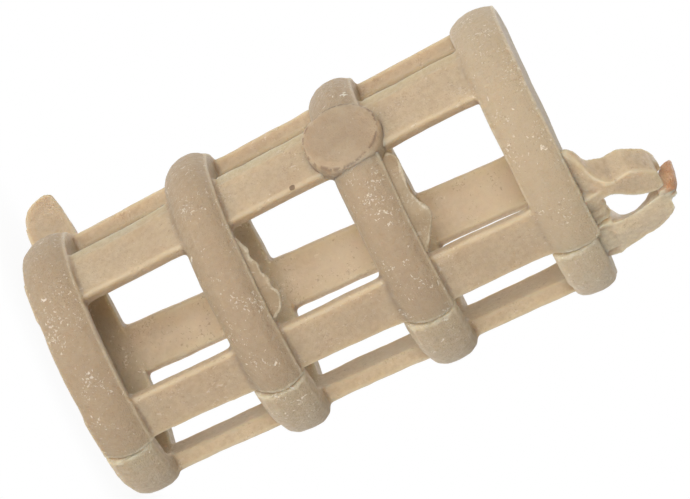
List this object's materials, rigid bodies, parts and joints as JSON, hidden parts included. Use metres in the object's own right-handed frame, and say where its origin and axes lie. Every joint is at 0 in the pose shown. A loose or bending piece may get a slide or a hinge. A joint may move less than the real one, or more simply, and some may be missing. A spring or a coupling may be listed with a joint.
{
  "type": "queen cage",
  "caption": "Small clamshell queen cage: tapered open barrel of hoops and bars in natural nylon, hinged on a folded strap eye at the large end, with a finger ear.",
  "frame": {"origin": "centre of the small end's flat outer face, on the barrel's axis", "axes": "+Z along the barrel's axis towards the large end and the hanging eye, -Y towards the gate pad on the front shell, +X towards the side that carries the eye"},
  "size_m": [0.015, 0.0126, 0.0248],
  "materials": {
    "moulded_nylon": "satin, aged natural nylon, slightly translucent",
    "thin_nylon": "satin, paler where the moulding is thin",
    "stressed_nylon": "glossy amber fold"
  },
  "bodies": {
    "back_shell": {"back_hoop_1": "moulded_nylon", "back_hoop_2": "moulded_nylon", "back_hoop_3": "moulded_nylon", "back_hoop_4": "moulded_nylon", "back_bar_left": "moulded_nylon", "back_bar_right": "moulded_nylon", "back_small_end_wall": "moulded_nylon", "back_large_end_wall": "moulded_nylon", "back_hinge_arm": "thin_nylon", "hinge_crease": "stressed_nylon", "finger_ear": "thin_nylon", "seam_lug_left_1": "moulded_nylon", "seam_lug_left_2": "moulded_nylon", "seam_lug_left_3": "moulded_nylon", "seam_lug_left_4": "moulded_nylon", "seam_lug_right_1": "moulded_nylon", "seam_lug_right_2": "moulded_nylon", "seam_lug_right_3": "moulded_nylon", "seam_lug_right_4": "moulded_nylon"},
    "front_shell": {"front_hoop_1": "moulded_nylon", "front_hoop_2": "moulded_nylon", "front_hoop_3": "moulded_nylon", "front_hoop_4": "moulded_nylon", "front_bar_left": "moulded_nylon", "front_bar_middle": "moulded_nylon", "front_bar_right": "moulded_nylon", "front_small_end_wall": "moulded_nylon", "front_large_end_wall": "moulded_nylon", "front_hinge_arm": "thin_nylon", "gate_pad": "moulded_nylon", "moulding_flash_2": "thin_nylon", "moulding_flash_3": "thin_nylon", "locating_pegs": "moulded_nylon"}
  },
  "joints": [
    {"name": "shell_hinge", "type": "hinge", "parent": "back_shell", "child": "front_shell", "pos_m": [0, -0.00066, 0.02426], "axis": [-1, 0, 0], "range_deg": [0, 180]}
  ]
}
